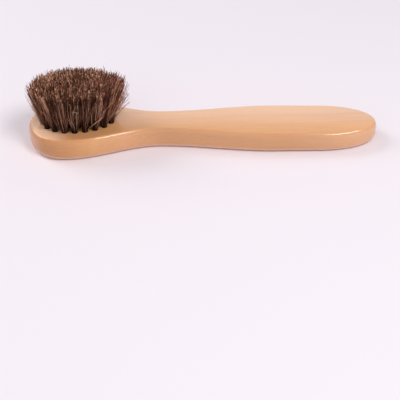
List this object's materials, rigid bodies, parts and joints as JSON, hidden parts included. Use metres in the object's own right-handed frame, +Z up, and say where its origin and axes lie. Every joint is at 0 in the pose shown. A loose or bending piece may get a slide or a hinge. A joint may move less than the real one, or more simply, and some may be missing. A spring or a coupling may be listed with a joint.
{
  "type": "shoe shine brush",
  "caption": "Long-handled brush for putting on and buffing shoe polish: a flat wooden handle with an egg-shaped head that holds tufts of dark horsehair.",
  "frame": {"origin": "under the middle of the brush's length and width, on the flat back that it lies on", "axes": "+X from the bristled head to the end of the grip, +Y across the brush, +Z up out of the bristle face, along the bristles"},
  "size_m": [0.18, 0.0414, 0.0362],
  "materials": {
    "wood": "pale close-grained wood under clear gloss lacquer",
    "horsehair": "dark brown natural horsehair with paler tips",
    "staple_wire": "plain flat steel wire"
  },
  "bodies": {
    "root": {"handle": "wood", "anchor_staples": "staple_wire", "tuft_01": "horsehair", "tuft_02": "horsehair", "tuft_03": "horsehair", "tuft_04": "horsehair", "tuft_05": "horsehair", "tuft_06": "horsehair", "tuft_07": "horsehair", "tuft_08": "horsehair", "tuft_09": "horsehair", "tuft_10": "horsehair", "tuft_11": "horsehair", "tuft_12": "horsehair", "tuft_13": "horsehair", "tuft_14": "horsehair", "tuft_15": "horsehair", "tuft_16": "horsehair", "tuft_17": "horsehair", "tuft_18": "horsehair", "tuft_19": "horsehair", "tuft_20": "horsehair", "tuft_21": "horsehair", "tuft_22": "horsehair", "tuft_23": "horsehair", "tuft_24": "horsehair", "tuft_25": "horsehair", "tuft_26": "horsehair", "tuft_27": "horsehair", "tuft_28": "horsehair", "tuft_29": "horsehair", "tuft_30": "horsehair", "tuft_31": "horsehair", "tuft_32": "horsehair", "tuft_33": "horsehair", "tuft_34": "horsehair"}
  },
  "joints": []
}
